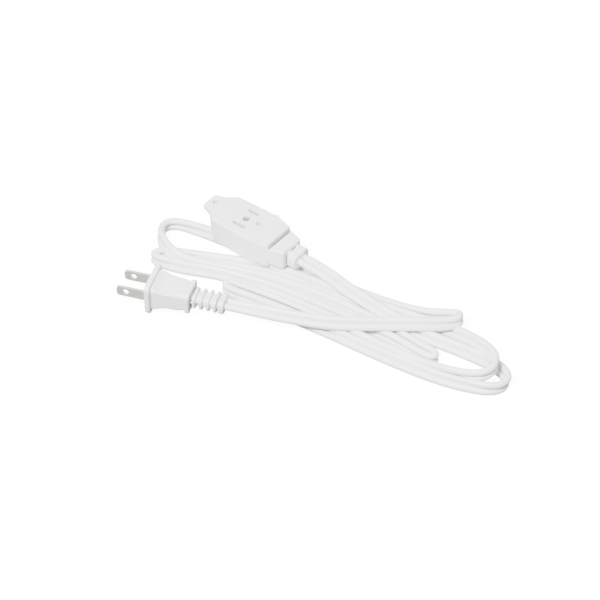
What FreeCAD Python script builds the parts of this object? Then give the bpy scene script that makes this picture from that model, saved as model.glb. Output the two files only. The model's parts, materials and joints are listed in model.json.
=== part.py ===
"""Indoor two-wire extension cord: a small outlet tap with a swing safety cover, a flat twin cord
folded into a loose hank, and a two-blade plug with a ribbed strain relief.

Millimetres, +Z up. The origin is the centre of the tap's own box, and the tap points along +X,
hanging tab at -X and cord end at +X. The whole cord lies on a flat surface at z = SURFACE_Z, with
the plug standing on its flange and the tap resting on two runs of the hank.
"""
import FreeCAD, Part
import os
from math import acos, cos, pi, radians, sin, tan

V = FreeCAD.Vector
UP = V(0, 0, 1)

# ---- driving dimensions -------------------------------------------------------------------
# plug blades, and the polarized slots that take them
BLADE_PITCH = 12.7
BLADE_T = 1.5
BLADE_OUT = 17.2
BLADE_W = 6.35
BLADE_TIP_R = 1.8
BLADE_HOLE_R = 1.75
BLADE_HOLE_IN = 5.3
SLOT_T = 2.0
HOT_SLOT_L = 7.1
NEUTRAL_SLOT_L = 8.7

# flat twin cord
CORD_W = 7.9
LEAD_R = 0.8
LEAD_SPACING = 3.8

# tap: a slanted tab end, a body that is widest at its middle, and a slimmer block at the cord
TAP_LEN = 66.0
TAP_W = 26.0
SHELL_H = 16.3
COVER_T = 0.8
COVER_GAP = 0.1
RIVET_HEAD_H = 0.2
TAB_W = 10.2
TAB_T = 3.2
TAB_CORNER_R = 1.8
TAB_HOLE_IN = 4.8
TAB_HOLE_R = 1.8
TAB_HOLE_RIM = 0.4
TAB_ROOT_LEN = 6.8
TAB_ROOT_W = 15.2
TAB_ROOT_R = 3.0
SHOULDER_LEN = 11.8
SHOULDER_INSET = 0.9
SHOULDER_R = 3.6
CHIN_LEN = 13.8
OUTLET_FROM_HOLE = 22.2
LOWER_OUTLET_BACK = 6.0
LOWER_OUTLET_PITCH = 22.0
WAIST_R = 30.0
MAIN_LEN = 50.1
MAIN_CORNER_R = 1.6
SIDE_WALL = 1.85
REAR_LEN = 9.1
REAR_LAP = 3.0
REAR_TAPER = 2.4
REAR_CORNER_R = 1.8
REAR_DROP = 2.3
JOINT_W = 1.2
JOINT_DEPTH = 1.4
SHELL_EDGE_R = 1.4
CHANNEL_W = 4.0
CHANNEL_MARGIN = 1.0
FACE_WALL = 2.0
BAY_W = 12.0
BAY_H = 5.0
BAY_OVERLAP = 3.0
BAY_WALL = 1.6
CLAMP_T = 2.4
LEAD_TAIL = 4.0
LEAD_IN_COLLAR = 3.4

# swing cover and its rivet
PIVOT_FROM_OUTLET = 8.7
COVER_INSET = 0.8
COVER_END_INSET = 1.4
COVER_REACH = 14.8
COVER_EYE_R = 4.3
COVER_NECK = 1.7
COVER_NECK_R = 1.2
COVER_FRONT_R = 1.4
COVER_BELLY = 3.8
COVER_BELLY_R = 3.0
COVER_END_R = 2.0
COVER_EDGE_R = 0.3
NOTCH_R = 0.9
NOTCH_BACK = 7.8
PIVOT_R = 2.4
PIVOT_CLEARANCE = 0.06
RIVET_HEAD_R = 3.0
RIVET_BORE_R = 1.8
RIVET_BORE_FLOOR = 0.8
RIVET_DEPTH = 4.0
GRIP_R = 0.8
GRIP_BACK = 9.0

# assembly screw
SCREW_HEAD_R = 2.0
SCREW_HEAD_H = 1.6
SCREW_SINK = 3.0
SCREW_R = 1.1
SCREW_TIP_WALL = 2.5
CROSS_REACH = 0.7
CROSS_W = 0.6
CROSS_DEPTH = 0.7
FIT = 0.15

# contact strips
STRIP_T = 0.6
LEAF_GAP = 1.7
LEAF_L = 6.6
LEAF_TIP_GAP = 0.5

# collar where the cord leaves the tap
COLLAR_W = 12.8
COLLAR_H = 9.8
COLLAR_R = 3.6
COLLAR_EDGE_R = 0.8
SLIT_W = 1.1
SLIT_L = 4.2
SLIT_DEPTH = 1.5
SLIT_BACK = 0.6

# plug
FLANGE_W = 23.0
FLANGE_H = 20.0
FLANGE_T = 3.0
FLANGE_R = 4.0
FLANGE_EDGE_R = 0.8
BODY_LEN = 24.0
BODY_FRONT_W = 18.6
BODY_FRONT_H = 15.4
BODY_REAR_W = 14.4
BODY_REAR_H = 11.4
BODY_EDGE_R = 2.4
RIM_W = 16.4
RIM_H = 13.0
RIM_T = 2.4
RIM_EDGE_R = 0.6
GRIP_SCOOP_R = 13.0
GRIP_SCOOP_DEPTH = 2.0
BOOT_LEN = 18.8
BOOT_W = 11.8
BOOT_H = 8.8
BOOT_R = 3.2
BOOT_CORE_W = 9.0
BOOT_CORE_H = 5.8
BOOT_CORE_R = 2.4
BOOT_RIBS = 5
BOOT_RIB_T = 1.7
BOOT_END_T = 3.0
BOOT_EDGE_R = 0.6
CARRIER_LEN = 7.0
CARRIER_FRONT = 3.0
CARRIER_W = 15.6
CARRIER_H = 9.6
CARRIER_R = 1.0
TAIL_IN_CARRIER = 3.0
CRIMP_LEN = 5.0
CRIMP_R = 1.5
LEAD_IN_BOOT = 5.0

# lay of the cord: where the plug lies, its heading, and how high the runs stack
TAP_LIFT = 5.6
PLUG_X = -19.0
PLUG_Y = -65.6
PLUG_YAW = 21.7
HANK_LAYER = 5.3
HANK_STACK = 13.6
HANK_FACE_W = 10.0
CORD_EXIT = 9.0
ARC_SHARE = 0.45
LIE_GAP = 0.3

# ---- levels and stations worked out from them ----------------------------------------------
TAP_H = SHELL_H + COVER_GAP + COVER_T + RIVET_HEAD_H
TAP_BOTTOM = -TAP_H / 2
FACE_Z = TAP_BOTTOM + SHELL_H
PART_Z = TAP_BOTTOM + SHELL_H / 2
COVER_Z = FACE_Z + COVER_GAP
SURFACE_Z = TAP_BOTTOM - TAP_LIFT

TAB_END = -TAP_LEN / 2
COLLAR_END = TAP_LEN / 2
HOLE_X = TAB_END + TAB_HOLE_IN
OUTLET_X = HOLE_X + OUTLET_FROM_HOLE
PIVOT_X = OUTLET_X + PIVOT_FROM_OUTLET
MAIN_END = TAB_END + MAIN_LEN
REAR_START = MAIN_END + JOINT_W
REAR_END = MAIN_END + REAR_LEN
TAB_ROOT_X = TAB_END + TAB_ROOT_LEN
SHOULDER_X = TAB_END + SHOULDER_LEN
CHIN_X = TAB_END + CHIN_LEN
POLE_Y = BLADE_PITCH / 2
MAIN_END_HALF = POLE_Y + CHANNEL_W / 2 + SIDE_WALL
CORD_R = CORD_W / 2
PLUG_LEN = BODY_LEN + BOOT_LEN
LOWER_OUTLETS = (OUTLET_X - LOWER_OUTLET_BACK, OUTLET_X - LOWER_OUTLET_BACK + LOWER_OUTLET_PITCH)
CHANNEL_START = LOWER_OUTLETS[0] - NEUTRAL_SLOT_L / 2 - CHANNEL_MARGIN
CHANNEL_END = MAIN_END - JOINT_W
BAY_START = CHANNEL_END - BAY_OVERLAP
BAY_END = REAR_END - BAY_WALL
CRIMP_START = FLANGE_T + CARRIER_FRONT + CARRIER_LEN - TAIL_IN_CARRIER


# ---- helpers -------------------------------------------------------------------------------
def corner(before, here, after, radius):
    """Start, middle and end of the arc that rounds one corner of a path."""
    to_before = (before - here).normalize()
    to_after = (after - here).normalize()
    half = acos(max(-1.0, min(1.0, to_before.dot(to_after)))) / 2
    trim = radius / tan(half)
    inward = (to_before + to_after).normalize()
    middle = here + inward * (radius / sin(half) - radius)
    return here + to_before * trim, middle, here + to_after * trim


def rounded_wire(corners, z):
    """Closed wire through (x, y, corner radius), with an arc at each corner that has a radius."""
    spots = [V(x, y, z) for x, y, _ in corners]
    count = len(spots)
    edges = []
    ends = []
    for i, (_, _, radius) in enumerate(corners):
        if radius:
            start, middle, end = corner(spots[i - 1], spots[i], spots[(i + 1) % count], radius)
            edges.append(Part.Arc(start, middle, end).toShape())
            ends.append((start, end))
        else:
            ends.append((spots[i], spots[i]))
    for i in range(count):
        a = ends[i][1]
        b = ends[(i + 1) % count][0]
        if (b - a).Length > 1e-6:
            edges.append(Part.LineSegment(a, b).toShape())
    return Part.Wire(Part.__sortEdges__(edges))


def plate(corners, z0, z1):
    return Part.Face(rounded_wire(corners, z0)).extrude(V(0, 0, z1 - z0))


def both_sides(half):
    """Full outline from its near half, which runs from -X to +X at positive half widths."""
    near = [(x, -y, r) for x, y, r in half]
    far = [(x, y, r) for x, y, r in reversed(half)]
    return near + far


def block(x0, x1, y0, y1, z0, z1):
    return Part.makeBox(x1 - x0, y1 - y0, z1 - z0, V(x0, y0, z0))


def rounded_section(x, half_w, half_h, r, z=0.0):
    """Rounded rectangle across X at station x."""
    flat = rounded_wire(
        [(-half_w, -half_h, r), (half_w, -half_h, r), (half_w, half_h, r), (-half_w, half_h, r)], 0
    )
    flat.Placement = FreeCAD.Placement(V(x, 0, z), FreeCAD.Rotation(V(0, 1, 0), V(0, 0, 1), V(1, 0, 0)))
    return flat


def bar(x0, x1, w, h, r, z=0.0):
    return Part.Face(rounded_section(x0, w / 2, h / 2, r, z)).extrude(V(x1 - x0, 0, 0))


def soft_bar(x0, x1, w, h, r, edge_r, z=0.0):
    """Bar whose two ends have rounded edges."""
    solid = bar(x0, x1, w, h, r, z)
    ends = [e for e in solid.Edges if e.BoundBox.XLength < 1e-4]
    return solid.makeFillet(edge_r, ends)


def round_edges_at(solid, z, r):
    edges = [e for e in solid.Edges if abs(e.BoundBox.ZMin - z) < 1e-4 and abs(e.BoundBox.ZMax - z) < 1e-4]
    return solid.makeFillet(r, edges)


def peg(x, y, z0, z1, r):
    return Part.makeCylinder(r, z1 - z0, V(x, y, z0), UP)


def rod(a, b, r):
    return Part.makeCylinder(r, (b - a).Length, a, b - a)


def cord_tube(name, points, r):
    """Tube along straight runs joined by tangent arcs, each as large as its two runs allow."""
    edges = []
    last = points[0]
    for before, here, after in zip(points, points[1:], points[2:]):
        turn = pi - (before - here).getAngle(after - here)
        run = min((here - before).Length, (after - here).Length)
        radius = ARC_SHARE * run / tan(turn / 2)
        start, middle, end = corner(before, here, after, radius)
        edges.append(Part.LineSegment(last, start).toShape())
        edges.append(Part.Arc(start, middle, end).toShape())
        last = end
        print(name, "radius %.0f mm, %.1f diameters" % (radius, radius / (2 * r)))
    edges.append(Part.LineSegment(last, points[-1]).toShape())
    length = sum(e.Length for e in edges)
    section = Part.Wire([Part.makeCircle(r, points[0], points[1] - points[0])])
    tube = Part.Wire(edges).makePipeShell([section], True, True)
    print(name, "length %.1f mm, volume ratio %.5f" % (length, tube.Volume / (pi * r * r * length)))
    return tube


def save(name, shape):
    shape.exportStep("parts/" + name + ".step")
    print("%-22s solids %d volume %9.1f valid %s" % (name, len(shape.Solids), shape.Volume, shape.isValid()))


# ---- tap -----------------------------------------------------------------------------------
def main_blank(z0, z1, z_edge):
    """Body outline between two levels, with the edge at one of them rounded."""
    half_w = TAP_W / 2
    half = [
        (TAB_END, TAB_W / 2, TAB_CORNER_R),
        (TAB_ROOT_X, TAB_ROOT_W / 2, TAB_ROOT_R),
        (SHOULDER_X, half_w - SHOULDER_INSET, SHOULDER_R),
        (PIVOT_X, half_w, WAIST_R),
        (MAIN_END, MAIN_END_HALF, MAIN_CORNER_R),
    ]
    return round_edges_at(plate(both_sides(half), z0, z1), z_edge, SHELL_EDGE_R)


def chin_cut():
    """What the underside leaves out: flat under the tab, then a slope down to the lower face."""
    flat_end = HOLE_X + TAB_HOLE_R + TAB_HOLE_RIM
    under_tab = FACE_Z - TAB_T
    far = TAB_END - 1
    low = TAP_BOTTOM - 1
    spots = [(far, low), (far, under_tab), (flat_end, under_tab), (CHIN_X, TAP_BOTTOM), (CHIN_X, low)]
    profile = Part.makePolygon([V(x, -TAP_W, z) for x, z in spots + spots[:1]])
    return Part.Face(profile).extrude(V(0, 2 * TAP_W, 0))


def main_half_w(x):
    """Half width of the body where it narrows towards the cord."""
    return TAP_W / 2 + (MAIN_END_HALF - TAP_W / 2) * (x - PIVOT_X) / (MAIN_END - PIVOT_X)


def rear_block(z_far):
    """Lower block of one shell behind its face, flush with the body's sides."""
    start = MAIN_END - REAR_LAP
    z0 = min(PART_Z, z_far)
    z1 = max(PART_Z, z_far)
    half = [
        (start, main_half_w(start), 0),
        (MAIN_END, MAIN_END_HALF, 0),
        (REAR_END, MAIN_END_HALF - REAR_TAPER, REAR_CORNER_R),
    ]
    return round_edges_at(plate(both_sides(half), z0, z1), z_far, SHELL_EDGE_R)


def joint_groove(z_far, inward):
    """Groove across the rear block's far face, which sets the block off from the body."""
    z0, z1 = sorted((z_far - inward, z_far + inward * JOINT_DEPTH))
    return block(MAIN_END, REAR_START, -TAP_W, TAP_W, z0, z1)


def blade_slot(x, pole, z0, z1):
    length = HOT_SLOT_L if pole > 0 else NEUTRAL_SLOT_L
    y = pole * POLE_Y
    return block(x - length / 2, x + length / 2, y - SLOT_T / 2, y + SLOT_T / 2, z0, z1)


def channels():
    """The two strip channels, and the bay behind them where the leads come together."""
    low = TAP_BOTTOM + FACE_WALL
    high = FACE_Z - FACE_WALL
    half = CHANNEL_W / 2
    rooms = [
        block(CHANNEL_START, CHANNEL_END, p * POLE_Y - half, p * POLE_Y + half, low, high) for p in (-1, 1)
    ]
    bay = block(BAY_START, BAY_END, -BAY_W / 2, BAY_W / 2, PART_Z - BAY_H / 2, PART_Z + BAY_H / 2)
    return Part.makeCompound(rooms + [bay])


def lead_line(pole):
    start = V(CHANNEL_END - LEAD_TAIL, pole * POLE_Y, PART_Z)
    end = V(COLLAR_END - LEAD_IN_COLLAR, pole * LEAD_SPACING / 2, PART_Z)
    return start, end


def tap_lead(pole):
    start, end = lead_line(pole)
    return rod(start, end, LEAD_R)


def tap_leads():
    return Part.makeCompound([tap_lead(-1), tap_lead(1)])


def assembly_screw():
    head_top = FACE_Z - SCREW_SINK + SCREW_HEAD_H
    head = peg(OUTLET_X, 0, head_top - SCREW_HEAD_H, head_top, SCREW_HEAD_R)
    shank = peg(OUTLET_X, 0, TAP_BOTTOM + SCREW_TIP_WALL, head_top - SCREW_HEAD_H, SCREW_R)
    arm = SCREW_HEAD_R * CROSS_REACH
    half = CROSS_W / 2
    low = head_top - CROSS_DEPTH
    along = block(OUTLET_X - arm, OUTLET_X + arm, -half, half, low, head_top + 1)
    across = block(OUTLET_X - half, OUTLET_X + half, -arm, arm, low, head_top + 1)
    return head.fuse(shank).removeSplitter().cut([along, across])


def pivot_rivet():
    top = COVER_Z + COVER_T + RIVET_HEAD_H
    head = peg(PIVOT_X, 0, top - RIVET_HEAD_H, top, RIVET_HEAD_R)
    shank = peg(PIVOT_X, 0, FACE_Z - RIVET_DEPTH, top - RIVET_HEAD_H, PIVOT_R)
    bore = peg(PIVOT_X, 0, FACE_Z - RIVET_DEPTH + RIVET_BORE_FLOOR, top + 1, RIVET_BORE_R)
    return head.fuse(shank).cut(bore)


def tap_upper_shell():
    blank = main_blank(PART_Z, FACE_Z, FACE_Z)
    shell = blank.fuse(rear_block(FACE_Z - REAR_DROP)).removeSplitter()
    cuts = [chin_cut(), channels(), tap_leads(), joint_groove(FACE_Z - REAR_DROP, -1)]
    cuts.append(peg(HOLE_X, 0, PART_Z, FACE_Z + 1, TAB_HOLE_R))
    cuts += [blade_slot(OUTLET_X, pole, FACE_Z - FACE_WALL - 1, FACE_Z + 1) for pole in (-1, 1)]
    cuts.append(peg(OUTLET_X, 0, FACE_Z - SCREW_SINK, FACE_Z + 1, SCREW_HEAD_R + FIT))
    cuts.append(peg(OUTLET_X, 0, PART_Z - 1, FACE_Z, SCREW_R + FIT))
    cuts.append(peg(PIVOT_X, 0, FACE_Z - RIVET_DEPTH, FACE_Z + 1, PIVOT_R))
    return shell.cut(cuts)


def tap_lower_shell():
    blank = main_blank(TAP_BOTTOM, PART_Z, TAP_BOTTOM)
    shell = blank.fuse(rear_block(TAP_BOTTOM + REAR_DROP)).removeSplitter()
    cuts = [chin_cut(), channels(), tap_leads(), assembly_screw()]
    cuts.append(joint_groove(TAP_BOTTOM + REAR_DROP, 1))
    for x in LOWER_OUTLETS:
        cuts += [blade_slot(x, pole, TAP_BOTTOM - 1, TAP_BOTTOM + FACE_WALL + 1) for pole in (-1, 1)]
    return shell.cut(cuts)


def swing_cover():
    """Cover at rest behind its pivot; half a turn lays its lobe over the upper outlet."""
    half_w = TAP_W / 2 - COVER_INSET
    end_half = MAIN_END_HALF - COVER_END_INSET
    top = COVER_Z + COVER_T
    half = [
        (-COVER_EYE_R, COVER_EYE_R, COVER_EYE_R - FIT),
        (COVER_NECK, COVER_EYE_R, COVER_NECK_R),
        (COVER_NECK, half_w, COVER_FRONT_R),
        (COVER_BELLY, half_w, COVER_BELLY_R),
        (COVER_REACH, end_half, COVER_END_R),
    ]
    outline = [(PIVOT_X + x, y, r) for x, y, r in both_sides(half)]
    cover = plate(outline, COVER_Z, top)
    slant = (half_w - end_half) / (COVER_REACH - COVER_BELLY)
    edge_y = half_w - slant * (NOTCH_BACK - COVER_BELLY)
    notches = [peg(PIVOT_X + NOTCH_BACK, side * edge_y, COVER_Z - 1, top + 1, NOTCH_R) for side in (-1, 1)]
    cover = round_edges_at(cover, top, COVER_EDGE_R).cut(notches)
    grip = peg(PIVOT_X + GRIP_BACK, -POLE_Y, top, top + RIVET_HEAD_H, GRIP_R)
    eye = peg(PIVOT_X, 0, COVER_Z - 1, top + 1, PIVOT_R + PIVOT_CLEARANCE)
    return cover.fuse(grip).cut(eye)


def contact_strip(pole):
    """Flat strip along its channel, with a pair of leaves under every slot of its pole."""
    y = pole * POLE_Y
    web_top = PART_Z - LEAD_R
    web_low = web_top - STRIP_T
    strip = block(CHANNEL_START, CHANNEL_END, y - CHANNEL_W / 2, y + CHANNEL_W / 2, web_low, web_top)
    leaves = []
    for x in (OUTLET_X,) + LOWER_OUTLETS:
        z0 = web_top if x == OUTLET_X else TAP_BOTTOM + FACE_WALL + LEAF_TIP_GAP
        z1 = FACE_Z - FACE_WALL - LEAF_TIP_GAP if x == OUTLET_X else web_low
        for side in (-1, 1):
            middle = y + side * (LEAF_GAP + STRIP_T) / 2
            leaves.append(
                block(x - LEAF_L / 2, x + LEAF_L / 2, middle - STRIP_T / 2, middle + STRIP_T / 2, z0, z1)
            )
    return strip.fuse(leaves).removeSplitter()


def tap_cord_clamp():
    x = (REAR_START + BAY_END - CLAMP_T) / 2
    clamp = block(x, x + CLAMP_T, -BAY_W / 2, BAY_W / 2, PART_Z - BAY_H / 2, PART_Z + BAY_H / 2)
    return clamp.cut(tap_leads())


def tap_end_collar():
    """Flexible collar with a slit above and below and a notch in each side, so that it can bend."""
    collar = soft_bar(REAR_END, COLLAR_END, COLLAR_W, COLLAR_H, COLLAR_R, COLLAR_EDGE_R, PART_Z)
    x0 = REAR_END + SLIT_BACK
    x1 = x0 + SLIT_W
    half_w = COLLAR_W / 2
    half_h = COLLAR_H / 2
    cuts = [tap_leads()]
    for side in (-1, 1):
        y0, y1 = sorted((side * half_w, side * (half_w - SLIT_DEPTH)))
        z0, z1 = sorted((side * half_h, side * (half_h - SLIT_DEPTH)))
        cuts.append(block(x0, x1, y0, y1, PART_Z - half_h, PART_Z + half_h))
        cuts.append(block(x0, x1, -SLIT_L / 2, SLIT_L / 2, PART_Z + z0, PART_Z + z1))
    return collar.cut(cuts)


# ---- plug, built along +X from its flange face, then laid in its place -----------------------
def plug_blade(pole):
    half_w = BLADE_W / 2
    y = pole * POLE_Y
    corners = [
        (-BLADE_OUT, -half_w, BLADE_TIP_R),
        (CRIMP_START, -half_w, 0),
        (CRIMP_START, half_w, 0),
        (-BLADE_OUT, half_w, BLADE_TIP_R),
    ]
    blade = plate(corners, -BLADE_T / 2, BLADE_T / 2)
    blade.rotate(V(0, 0, 0), V(1, 0, 0), 90)
    blade.translate(V(0, y, 0))
    through = V(BLADE_HOLE_IN - BLADE_OUT, y - BLADE_T, 0)
    return blade.cut(Part.makeCylinder(BLADE_HOLE_R, 2 * BLADE_T, through, V(0, 1, 0)))


def plug_lead_line(pole):
    start = V(CRIMP_START, pole * POLE_Y, 0)
    middle = V(CRIMP_START + CRIMP_LEN, pole * POLE_Y, 0)
    end = V(PLUG_LEN - LEAD_IN_BOOT, pole * LEAD_SPACING / 2, 0)
    return start, middle, end


def plug_lead(pole):
    start, middle, end = plug_lead_line(pole)
    knee = Part.makeSphere(LEAD_R, middle)
    return rod(start, middle, LEAD_R).fuse([knee, rod(middle, end, LEAD_R)])


def blade_crimp(pole):
    start, middle, _ = plug_lead_line(pole)
    return rod(start, middle, CRIMP_R).cut(plug_lead(pole))


def plug_carrier():
    x = CARRIER_FRONT
    carrier = bar(x, x + CARRIER_LEN, CARRIER_W, CARRIER_H, CARRIER_R)
    return carrier.cut([plug_blade(-1), plug_blade(1)])


def plug_inner():
    inner = [plug_carrier()]
    for pole in (-1, 1):
        inner += [plug_blade(pole), blade_crimp(pole), plug_lead(pole)]
    return inner


def plug_body():
    """Flange, a waisted grip with a thumb scoop above and below, and a rim at the boot."""
    flange = soft_bar(0, FLANGE_T, FLANGE_W, FLANGE_H, FLANGE_R, FLANGE_EDGE_R)
    rim_x = BODY_LEN - RIM_T
    front = rounded_section(FLANGE_T, BODY_FRONT_W / 2, BODY_FRONT_H / 2, BODY_EDGE_R)
    rear = rounded_section(rim_x, BODY_REAR_W / 2, BODY_REAR_H / 2, BODY_EDGE_R)
    grip = Part.makeLoft([front, rear], True, True)
    scoop_x = (FLANGE_T + rim_x) / 2
    mid_half_h = (BODY_FRONT_H + BODY_REAR_H) / 4
    lift = mid_half_h - GRIP_SCOOP_DEPTH + GRIP_SCOOP_R
    scoops = [
        Part.makeCylinder(GRIP_SCOOP_R, FLANGE_W, V(scoop_x, -FLANGE_W / 2, s * lift), V(0, 1, 0))
        for s in (-1, 1)
    ]
    rim = soft_bar(rim_x, BODY_LEN, RIM_W, RIM_H, BODY_EDGE_R, RIM_EDGE_R)
    return flange.fuse([grip.cut(scoops), rim]).cut(plug_inner())


def plug_strain_relief():
    core = bar(BODY_LEN, PLUG_LEN, BOOT_CORE_W, BOOT_CORE_H, BOOT_CORE_R)
    pitch = (BOOT_LEN - BOOT_END_T) / (BOOT_RIBS - 1)
    ribs = [soft_bar(PLUG_LEN - BOOT_END_T, PLUG_LEN, BOOT_W, BOOT_H, BOOT_R, BOOT_EDGE_R)]
    for i in range(BOOT_RIBS - 1):
        x = BODY_LEN + i * pitch + (pitch - BOOT_RIB_T) / 2
        ribs.append(soft_bar(x, x + BOOT_RIB_T, BOOT_W, BOOT_H, BOOT_R, BOOT_EDGE_R))
    return core.fuse(ribs).removeSplitter().cut([plug_lead(-1), plug_lead(1)])


def lay_plug(shape):
    shape.rotate(V(0, 0, 0), UP, PLUG_YAW)
    shape.translate(V(PLUG_X, PLUG_Y, PLUG_Z))
    return shape


# ---- cord ----------------------------------------------------------------------------------
RUN_Z = SURFACE_Z + HANK_LAYER + CORD_R + LIE_GAP
PLUG_Z = SURFACE_Z + FLANGE_H / 2
PLUG_AHEAD = V(cos(radians(PLUG_YAW)), sin(radians(PLUG_YAW)), 0)
BOOT_END = V(PLUG_X, PLUG_Y, PLUG_Z) + PLUG_AHEAD * PLUG_LEN

TAP_ROUTE = [
    V(COLLAR_END, 0, PART_Z),
    V(COLLAR_END + CORD_EXIT, 0, PART_Z),
    V(53, 1.9, -2.3),
    V(64, 1.4, RUN_Z),
    V(74, 1.4, RUN_Z),
]
PLUG_ROUTE = [
    BOOT_END,
    BOOT_END + PLUG_AHEAD * CORD_EXIT,
    V(43, -39.4, -4.4),
    V(57, -32, RUN_Z),
    V(69, -25.9, RUN_Z),
]
# outline of the flat hank on the surface, from its left fold along the far side and back
HANK_OUTLINE = [
    (-53, -17), (-47, -9), (-31, -3), (-8, 2), (20, 4.5), (48, 7.5), (78, 15), (102, 22), (118, 32),
    (130, 28), (146, 23), (160, 16), (171, 5), (172, -6), (158, -16), (134, -23), (96, -29), (52, -33),
    (8, -38), (-6, -34.5), (-20, -39), (-36, -47), (-45, -41), (-48, -29),
]

# the rest of the stack's outline, from the plug's run round to the tap's
STACK_OUTLINE = [(112, -23), (136, -10), (136, 8), (118, 17), (92, 13)]
STACK_R = 8.0


def hank_face(route):
    """The two corners of the hank's upright face where a run meets it square."""
    along = route[-1] - route[-2]
    across = V(-along.y, along.x, 0).normalize() * (HANK_FACE_W / 2)
    left = route[-1] + across
    right = route[-1] - across
    return (left.x, left.y, 0), (right.x, right.y, 0)


def cord_hank():
    """Outer shape of the folded runs: a flat bed one cord thick and the stack in its middle."""
    curve = Part.BSplineCurve()
    curve.interpolate(Points=[V(x, y, SURFACE_Z) for x, y in HANK_OUTLINE], PeriodicFlag=True)
    bed = Part.Face(Part.Wire([curve.toShape()])).extrude(V(0, 0, HANK_LAYER))
    tap_left, tap_right = hank_face(TAP_ROUTE)
    plug_left, plug_right = hank_face(PLUG_ROUTE)
    rest = [(x, y, STACK_R) for x, y in STACK_OUTLINE]
    stack = plate([tap_left, tap_right, plug_left, plug_right] + rest, SURFACE_Z, SURFACE_Z + HANK_STACK)
    return bed.fuse(stack).removeSplitter()


def main():
    os.makedirs("parts", exist_ok=True)
    save("tap_upper_shell", tap_upper_shell())
    save("tap_lower_shell", tap_lower_shell())
    save("swing_cover", swing_cover())
    save("cover_pivot_rivet", pivot_rivet())
    save("assembly_screw", assembly_screw())
    save("tap_cord_clamp", tap_cord_clamp())
    save("tap_end_collar", tap_end_collar())
    save("plug_body", lay_plug(plug_body()))
    save("plug_carrier", lay_plug(plug_carrier()))
    save("plug_strain_relief", lay_plug(plug_strain_relief()))
    for name, pole in (("neutral", -1), ("hot", 1)):
        save("tap_" + name + "_strip", contact_strip(pole))
        save("tap_" + name + "_lead", tap_lead(pole))
        save("plug_" + name + "_blade", lay_plug(plug_blade(pole)))
        save("plug_" + name + "_crimp", lay_plug(blade_crimp(pole)))
        save("plug_" + name + "_lead", lay_plug(plug_lead(pole)))
    save("cord_tap_run", cord_tube("tap run", TAP_ROUTE, CORD_R))
    save("cord_plug_run", cord_tube("plug run", PLUG_ROUTE, CORD_R))
    save("cord_hank", cord_hank())


main()
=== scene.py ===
"""Looks for the indoor extension cord: flat twin cord, white mouldings, nickel blades."""
import json
from math import cos, pi, radians, sin

import bpy
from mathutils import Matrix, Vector


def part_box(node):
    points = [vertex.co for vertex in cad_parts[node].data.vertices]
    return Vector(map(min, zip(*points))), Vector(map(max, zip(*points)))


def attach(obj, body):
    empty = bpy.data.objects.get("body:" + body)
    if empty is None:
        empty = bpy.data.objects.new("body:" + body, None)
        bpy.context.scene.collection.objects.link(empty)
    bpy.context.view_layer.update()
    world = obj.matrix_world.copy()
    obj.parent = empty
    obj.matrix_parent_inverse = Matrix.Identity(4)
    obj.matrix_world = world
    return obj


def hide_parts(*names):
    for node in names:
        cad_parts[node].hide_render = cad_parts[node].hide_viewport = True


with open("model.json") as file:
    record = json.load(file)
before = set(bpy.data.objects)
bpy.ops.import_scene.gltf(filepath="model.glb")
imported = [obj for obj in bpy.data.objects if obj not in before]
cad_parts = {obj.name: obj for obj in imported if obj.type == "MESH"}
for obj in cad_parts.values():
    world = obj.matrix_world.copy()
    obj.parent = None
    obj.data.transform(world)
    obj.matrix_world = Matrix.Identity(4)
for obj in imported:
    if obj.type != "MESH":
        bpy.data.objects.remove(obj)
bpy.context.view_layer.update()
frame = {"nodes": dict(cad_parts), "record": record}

# in millimetres: how far the tap's underside is over the surface
MM = 0.001
TAP_LIFT = 5.6
SURFACE_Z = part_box("tap_lower_shell")[0][2] - TAP_LIFT * MM

# camera: where it looks, from which side, how high, how far in metres, and its lens
LOOK_AT = Vector((43.3 * MM, -14.5 * MM, SURFACE_Z))
AZIMUTH = radians(38.6)
ELEVATION = radians(43.6)
DISTANCE = 1.2
LENS = 132.4

# turn of the plug, which the rolling lines on its blades follow
PLUG_YAW = radians(21.7)

# studio: strength of the sky, and between which heights of the view it fades; each lamp's place
# from LOOK_AT in metres, its size and its power
SKY_ABOVE = 1.6
SKY_BELOW = 0.32
SKY_FADE_FROM = -0.1
SKY_FADE_TO = 0.3
KEY_AT = (0.05, -0.88, 1.28)
KEY_SIZE = 0.35
KEY_POWER = 105
FILL_AT = (0.3, 1.0, 0.9)
FILL_SIZE = 1.0
FILL_POWER = 4
FLOOR_SIZE = 6
FLOOR_GLOW = 12.0

# painted crease shade: how near another surface counts, in millimetres, the open shares of the view
# between which the painted shade goes from full dark to none, and the tint that is left where the
# painted shade is darkest
CREASE_REACH = 3.0
CREASE_SHUT = 0.1
CREASE_OPEN = 0.6
CREASE_PAINTED_SHADE = 0.35
CREASE_SAMPLES = 8

# middle range of a noise texture, where nearly all its values lie
NOISE_LOW = 0.3
NOISE_HIGH = 0.7

# flat twin cord in millimetres; each lobe is an arc that stops LOBE_OPENING radians short of the web,
# and CORD_ORDER is that of the NURBS route
CORD_W = 7.9
LOBE_R = 1.97
LOBE_OPENING = 0.4
LOBE_STEPS = 14
WEB_HALF = 0.5
CORD_SMOOTHNESS = 10
CORD_ORDER = 3


# ---- camera, floor and light ---------------------------------------------------------------
def add_camera():
    data = bpy.data.cameras.new("camera")
    data.lens = LENS
    camera = bpy.data.objects.new("camera", data)
    bpy.context.scene.collection.objects.link(camera)
    back = Vector((sin(AZIMUTH) * cos(ELEVATION), -cos(AZIMUTH) * cos(ELEVATION), sin(ELEVATION)))
    camera.location = LOOK_AT + back * DISTANCE
    camera.rotation_mode = "QUATERNION"
    camera.rotation_quaternion = (-back).to_track_quat("-Z", "Y")
    bpy.context.scene.camera = camera


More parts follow.
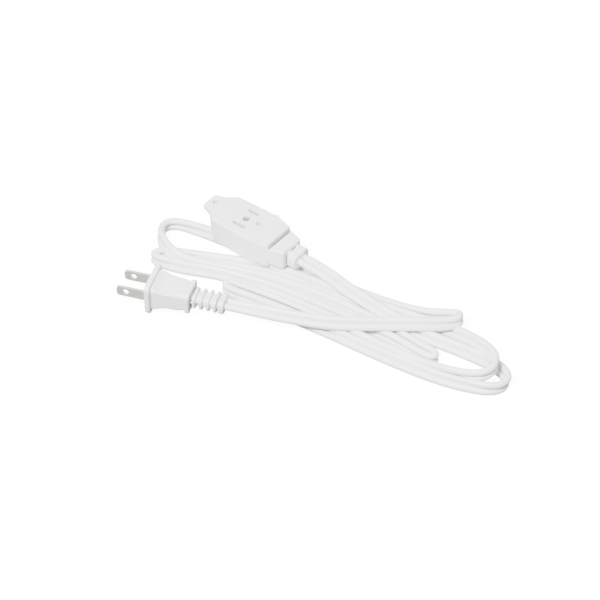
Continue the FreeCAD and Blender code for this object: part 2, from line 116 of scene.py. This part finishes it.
def add_area(name, offset, size, power):
    data = bpy.data.lights.new(name, "AREA")
    data.size = size
    data.energy = power
    light = bpy.data.objects.new(name, data)
    bpy.context.scene.collection.objects.link(light)
    light.location = LOOK_AT + Vector(offset)
    light.rotation_mode = "QUATERNION"
    light.rotation_quaternion = (LOOK_AT - light.location).to_track_quat("-Z", "Y")


def add_sky():
    """Soft white light from above, and hardly any from below, where dark gaps stay dark."""
    world = bpy.data.worlds.new("studio")
    bpy.context.scene.world = world
    world.use_nodes = True
    nodes = world.node_tree.nodes
    links = world.node_tree.links
    place = nodes.new("ShaderNodeTexCoord")
    axes = nodes.new("ShaderNodeSeparateXYZ")
    fade = nodes.new("ShaderNodeMapRange")
    fade.inputs["From Min"].default_value = SKY_FADE_FROM
    fade.inputs["From Max"].default_value = SKY_FADE_TO
    fade.inputs["To Min"].default_value = SKY_BELOW
    fade.inputs["To Max"].default_value = SKY_ABOVE
    links.new(place.outputs["Generated"], axes.inputs["Vector"])
    links.new(axes.outputs["Z"], fade.inputs["Value"])
    links.new(fade.outputs["Result"], nodes["Background"].inputs["Strength"])
    nodes["Background"].inputs["Color"].default_value = (1, 1, 1, 1)


def add_studio():
    add_sky()
    add_area("key", KEY_AT, KEY_SIZE, KEY_POWER)
    add_area("fill", FILL_AT, FILL_SIZE, FILL_POWER)
    bpy.ops.mesh.primitive_plane_add(size=FLOOR_SIZE, location=(LOOK_AT.x, LOOK_AT.y, SURFACE_Z))
    floor = bpy.context.object
    floor.name = "floor"
    floor.data.materials.append(floor_paper())
    floor.visible_diffuse = False
    floor.visible_glossy = False


# ---- materials -----------------------------------------------------------------------------
def shader_of(name, color, roughness):
    material = bpy.data.materials.new(name)
    material.use_nodes = True
    shader = material.node_tree.nodes["Principled BSDF"]
    shader.inputs["Base Color"].default_value = (*color, 1)
    shader.inputs["Roughness"].default_value = roughness
    return material, shader


def add_node(material, kind, **values):
    node = material.node_tree.nodes.new(kind)
    for key, value in values.items():
        if hasattr(node, key):
            setattr(node, key, value)
        else:
            node.inputs[key.replace("_", " ")].default_value = value
    return node


def link(material, source, output, target, socket):
    material.node_tree.links.new(source.outputs[output], target.inputs[socket])


def noise(material, scale, detail):
    """Noise fixed to the part, in cycles per metre."""
    place = add_node(material, "ShaderNodeTexCoord")
    grain = add_node(material, "ShaderNodeTexNoise", Scale=scale, Detail=detail)
    link(material, place, "Object", grain, "Vector")
    return grain


def ramp(material, source, low, high, dark, pale):
    """Two-stop colour ramp over a noise's middle range."""
    node = add_node(material, "ShaderNodeValToRGB")
    stops = node.color_ramp.elements
    stops[0].position, stops[1].position = low, high
    stops[0].color, stops[1].color = (*dark, 1), (*pale, 1)
    link(material, source, "Fac", node, "Fac")
    return node


def spread(material, source, low, high):
    """Noise value spread to a range of roughness."""
    node = add_node(material, "ShaderNodeMapRange")
    node.inputs["From Min"].default_value = NOISE_LOW
    node.inputs["From Max"].default_value = NOISE_HIGH
    node.inputs["To Min"].default_value = low
    node.inputs["To Max"].default_value = high
    link(material, source, "Fac", node, "Value")
    return node


def bump(material, shader, source, depth, strength):
    node = add_node(material, "ShaderNodeBump")
    node.inputs["Distance"].default_value = depth
    node.inputs["Strength"].default_value = strength
    link(material, source, "Fac", node, "Height")
    link(material, node, "Normal", shader, "Normal")


def painted_crease_shade(material, tint):
    """Painted shade: darkens a tint where the surface is close to another, as in grooves, holes and
    folds.
    """
    # painted shade: the occlusion of nearby surfaces scales the colour itself
    near = add_node(material, "ShaderNodeAmbientOcclusion", samples=CREASE_SAMPLES)
    near.inputs["Distance"].default_value = CREASE_REACH * MM
    open_share = add_node(material, "ShaderNodeMapRange")
    open_share.inputs["From Min"].default_value = CREASE_SHUT
    open_share.inputs["From Max"].default_value = CREASE_OPEN
    open_share.inputs["To Min"].default_value = CREASE_PAINTED_SHADE
    open_share.inputs["To Max"].default_value = 1.0
    link(material, near, "AO", open_share, "Value")
    mix = add_node(material, "ShaderNodeVectorMath", operation="SCALE")
    link(material, tint, "Color", mix, "Vector")
    link(material, open_share, "Result", mix, "Scale")
    return mix


def floor_paper():
    """White paper lit from behind until its shadows are gone."""
    material, shader = shader_of("floor_paper", color=(0.95, 0.95, 0.95), roughness=0.9)
    shader.inputs["Emission Color"].default_value = (1, 1, 1, 1)
    shader.inputs["Emission Strength"].default_value = FLOOR_GLOW
    return material


def moulded_plastic(name, pale, dark, rough):
    """Injection moulding: cloudy tint, fine spark-eroded grain, slightly uneven gloss, and painted
    shade in grooves, holes and folds.
    """
    material, shader = shader_of(name, pale, rough[0])
    cloud = noise(material, scale=90, detail=4)
    # the tint is darkened where the surface is near another: painted shade in grooves, holes and
    # folds
    tint = painted_crease_shade(material, ramp(material, cloud, low=0.35, high=0.65, dark=dark, pale=pale))
    link(material, tint, "Vector", shader, "Base Color")
    gloss = spread(material, cloud, *rough)
    link(material, gloss, "Result", shader, "Roughness")
    bump(material, shader, noise(material, scale=2600, detail=2), depth=0.00012, strength=0.35)
    shader.inputs["IOR"].default_value = 1.5
    shader.inputs["Subsurface Weight"].default_value = 0.06
    shader.inputs["Subsurface Radius"].default_value = (0.002, 0.002, 0.0018)
    return material


def soft_pvc(name, pale, dark):
    """Extruded cord jacket: satin, with faint waves left by the die, and painted shade in the grooves
    between its lobes, in its folds and where strands touch.
    """
    material, shader = shader_of(name, pale, roughness=0.38)
    cloud = noise(material, scale=55, detail=5)
    # the tint is darkened where the cord is near another surface: painted shade in its grooves and
    # folds and between strands
    tint = painted_crease_shade(material, ramp(material, cloud, low=0.3, high=0.62, dark=dark, pale=pale))
    link(material, tint, "Vector", shader, "Base Color")
    gloss = spread(material, cloud, low=0.3, high=0.46)
    link(material, gloss, "Result", shader, "Roughness")
    bump(material, shader, noise(material, scale=700, detail=3), depth=0.0002, strength=0.3)
    shader.inputs["IOR"].default_value = 1.52
    shader.inputs["Subsurface Weight"].default_value = 0.08
    shader.inputs["Subsurface Radius"].default_value = (0.002, 0.002, 0.0017)
    return material


def plated_metal(name, pale, dark, rough, stretch, metallic=1.0):
    """Plated or rolled metal; how the noise is stretched sets which way its fine lines run."""
    material, shader = shader_of(name, pale, rough[0])
    place = add_node(material, "ShaderNodeTexCoord")
    lay = add_node(material, "ShaderNodeMapping")
    lay.inputs["Rotation"].default_value = (0, 0, PLUG_YAW)
    lay.inputs["Scale"].default_value = stretch
    link(material, place, "Object", lay, "Vector")
    lines = add_node(material, "ShaderNodeTexNoise", Scale=900.0, Detail=4.0)
    link(material, lay, "Vector", lines, "Vector")
    tint = ramp(material, lines, low=0.35, high=0.65, dark=dark, pale=pale)
    link(material, tint, "Color", shader, "Base Color")
    gloss = spread(material, lines, *rough)
    link(material, gloss, "Result", shader, "Roughness")
    bump(material, shader, lines, depth=0.00005, strength=0.5)
    shader.inputs["Metallic"].default_value = metallic
    return material


def finish_nodes():
    """Every node that shows in the looks gets the finish of its material slot."""
    along_x = (0.06, 1, 1)
    even = (1, 1, 1)
    finishes = {
        "white_housing": moulded_plastic(
            "white_housing", pale=(0.83, 0.83, 0.82), dark=(0.78, 0.78, 0.77), rough=(0.32, 0.42)
        ),
        "inner_plastic": moulded_plastic(
            "inner_plastic", pale=(0.74, 0.73, 0.7), dark=(0.66, 0.65, 0.62), rough=(0.5, 0.65)
        ),
        "blade_nickel": plated_metal(
            "blade_nickel", pale=(0.78, 0.74, 0.68), dark=(0.68, 0.64, 0.58), rough=(0.42, 0.55),
            stretch=along_x, metallic=0.7,
        ),
        "fastener_steel": plated_metal(
            "fastener_steel", pale=(0.56, 0.56, 0.57), dark=(0.42, 0.42, 0.43), rough=(0.3, 0.45),
            stretch=even,
        ),
        "contact_brass": plated_metal(
            "contact_brass", pale=(0.72, 0.55, 0.27), dark=(0.55, 0.4, 0.18), rough=(0.25, 0.4),
            stretch=along_x,
        ),
        "lead_copper": plated_metal(
            "lead_copper", pale=(0.75, 0.42, 0.27), dark=(0.55, 0.28, 0.17), rough=(0.25, 0.4),
            stretch=along_x,
        ),
        "cord_pvc": soft_pvc("cord_pvc", pale=(0.84, 0.84, 0.83), dark=(0.78, 0.78, 0.765)),
    }
    for part in frame["record"]["subparts"]:
        piece = frame["nodes"][part["node"]]
        for slot in piece.material_slots:
            slot.material = finishes[part["material_slot"]]
    return finishes


# ---- cord ----------------------------------------------------------------------------------
# x and y in the tap's frame, height of the cord's middle over the surface, and the roll of its
# flat side: 0 and 180 lie flat, 90 stands on edge, and between them one wide face looks up and
# out, to the near side at under 90 on the way to +X and at over 90 on the way back
TAP_RUN = [
    (33, 0, 13.75, 0), (41, 0.1, 13.7, 30), (52.4, 0.9, 11.4, 40), (63.4, 0.2, 9.8, 42),
    (73.4, 0, 8.9, 42),
]
PLUG_RUN = [
    (70.4, -27.3, 9, 136), (58, -33, 8.8, 140), (43.6, -39.8, 9.2, 150), (29.1, -46.4, 10, 170),
    (20.8, -49.8, 10, 180),
]
HANK = [
    # the tap's run goes on to the right fold
    (87.4, -0.2, 7.6, 42), (102.4, 0.6, 5.4, 40), (117.8, 2.4, 3.8, 40), (131.8, 5.2, 3.4, 38),
    (144.2, 7, 3.3, 38), (154.4, 7.6, 3.5, 44), (163.2, 6.2, 3.8, 62), (168.7, 2.2, 4, 78),
    (168.9, -4.2, 4, 90), (164, -9.4, 4, 102),
    # front run back to the left
    (155, -13, 3.7, 125), (143, -16.8, 3.3, 138), (129, -19.8, 3.3, 140), (113, -22.2, 3.3, 140),
    (96, -24.2, 3.3, 140), (78, -25.9, 3.3, 140), (59, -28.2, 3.3, 140), (41, -31, 3.3, 138),
    (26, -34, 3.7, 125), (15, -36, 4.1, 98),
    # left front fold, and back on edge behind the front run
    (7.6, -36, 4, 90), (7.2, -31.6, 4, 90), (14, -30.4, 4, 86), (26, -28.2, 3.9, 72),
    (42, -25.4, 3.8, 62), (60, -23.4, 3.8, 62), (78, -21.6, 3.8, 64), (96, -20, 3.9, 70),
    (112, -18.2, 4, 82), (128, -16, 4.4, 86), (142, -13.8, 6, 88), (153.8, -10.6, 8, 90),
    # ring on edge at the right, over the tap's run
    (160.6, -5.4, 9.6, 90), (160.8, 1.6, 10.4, 92), (155.8, 7.8, 9.8, 102), (145.6, 12.2, 7.6, 114),
    (132.8, 14.2, 5, 128),
    # back run to the left
    (119.6, 13.6, 3.6, 150), (105, 10, 3.2, 152), (90, 6.2, 3.8, 142), (74, 2.6, 3.9, 140),
    (58, -0.6, 3.8, 140), (42, -3, 3.6, 140), (26, -5, 3.4, 142), (10.6, -9.4, 2.9, 152),
    (-3.4, -16.4, 2.8, 160), (-17.4, -23.4, 2.8, 160), (-28, -29.6, 3.1, 150), (-35, -34.2, 3.7, 128),
    # left fold
    (-38.6, -37.6, 4.1, 92), (-39.2, -41.2, 4, 90), (-34.6, -42, 4, 76), (-25.4, -40, 4.6, 52),
    # to the right, through the middle
    (-13.8, -36.4, 5.8, 38), (-2.2, -30.8, 5.8, 34), (10, -26.2, 5.2, 36), (23, -21.6, 4.4, 44),
    (37, -18.4, 3.8, 52), (52, -16.4, 3.8, 62), (68, -14.2, 3.8, 68), (84, -12.2, 3.9, 74),
    (99, -10.9, 4, 78), (111.5, -10.7, 4, 82), (122.2, -11, 4, 88),
    # middle fold
    (129, -10.2, 4, 90), (129, -6.2, 4, 92), (121, -6.4, 4, 98),
    # and back to the left
    (110, -6.2, 3.9, 108), (97, -5.8, 3.8, 116), (81, -6.2, 3.7, 124), (65, -7.6, 3.6, 132),
    (50, -9.4, 3.4, 140), (36, -11.4, 3, 150), (22, -14.4, 2.8, 158), (8, -19.4, 2.7, 162),
    (-6, -25.2, 2.5, 166), (-19, -30.8, 3, 164), (-29.6, -34.6, 5.4, 148), (-39.6, -31.8, 6.2, 116),
    (-47.8, -25.4, 4.8, 94), (-51.4, -18, 4.1, 90), (-47.6, -12.4, 4, 88), (-38, -9.4, 4, 76),
    (-26, -6.4, 3.6, 52),
    # along the back to the last fold
    (-12, -3.8, 2.8, 22), (2, -2, 2.3, 8), (16, -0.4, 2.2, 5), (30, 1.4, 2.3, 5),
    (46, 4, 2.3, 5), (62, 6.6, 2.3, 8), (78, 9, 2.4, 12), (94, 11.6, 3.1, 28),
    (107, 15.2, 4.4, 62), (116.4, 20.4, 6.4, 88), (123.4, 22.4, 8.4, 90), (126, 18, 9.2, 98),
    # and over everything to the plug
    (120.4, 9.8, 9.8, 126), (109.4, 0.8, 10.2, 138), (96.6, -9.2, 10.2, 138), (83.6, -19, 9.8, 136),
]


def twin_profile():
    """Section of the flat cord: two round lobes joined by a thin web, drawn by its arcs."""
    centre = CORD_W / 2 - LOBE_R
    reach = pi - LOBE_OPENING
    right = []
    for i in range(LOBE_STEPS + 1):
        angle = -reach + 2 * reach * i / LOBE_STEPS
        right.append((centre + LOBE_R * cos(angle), LOBE_R * sin(angle)))
    outline = right + [(0, WEB_HALF)] + [(-x, -y) for x, y in right] + [(0, -WEB_HALF)]
    curve = bpy.data.curves.new("twin_profile", "CURVE")
    curve.dimensions = "2D"
    spline = curve.splines.new("POLY")
    spline.points.add(len(outline) - 1)
    for point, (x, y) in zip(spline.points, outline):
        point.co = (x * MM, y * MM, 0, 1)
    spline.use_cyclic_u = True
    profile = bpy.data.objects.new("twin_profile", curve)
    bpy.context.scene.collection.objects.link(profile)
    profile.hide_render = True
    return profile


def add_cord(finish):
    route = TAP_RUN + HANK + PLUG_RUN
    curve = bpy.data.curves.new("cord", "CURVE")
    curve.dimensions = "3D"
    curve.twist_mode = "Z_UP"
    curve.resolution_u = CORD_SMOOTHNESS
    spline = curve.splines.new("NURBS")
    spline.points.add(len(route) - 1)
    for point, (x, y, height, lean) in zip(spline.points, route):
        point.co = (x * MM, y * MM, SURFACE_Z + height * MM, 1)
        point.tilt = radians(lean)
    spline.order_u = CORD_ORDER
    spline.use_endpoint_u = True
    curve.bevel_mode = "OBJECT"
    curve.bevel_object = twin_profile()
    curve.use_fill_caps = True
    curve.materials.append(finish)
    cord = bpy.data.objects.new("flat_twin_cord", curve)
    bpy.context.scene.collection.objects.link(cord)
    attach(cord, "cord_set")
    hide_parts("cord_tap_run", "cord_hank", "cord_plug_run")


add_camera()
add_studio()
finishes = finish_nodes()
add_cord(finishes["cord_pvc"])
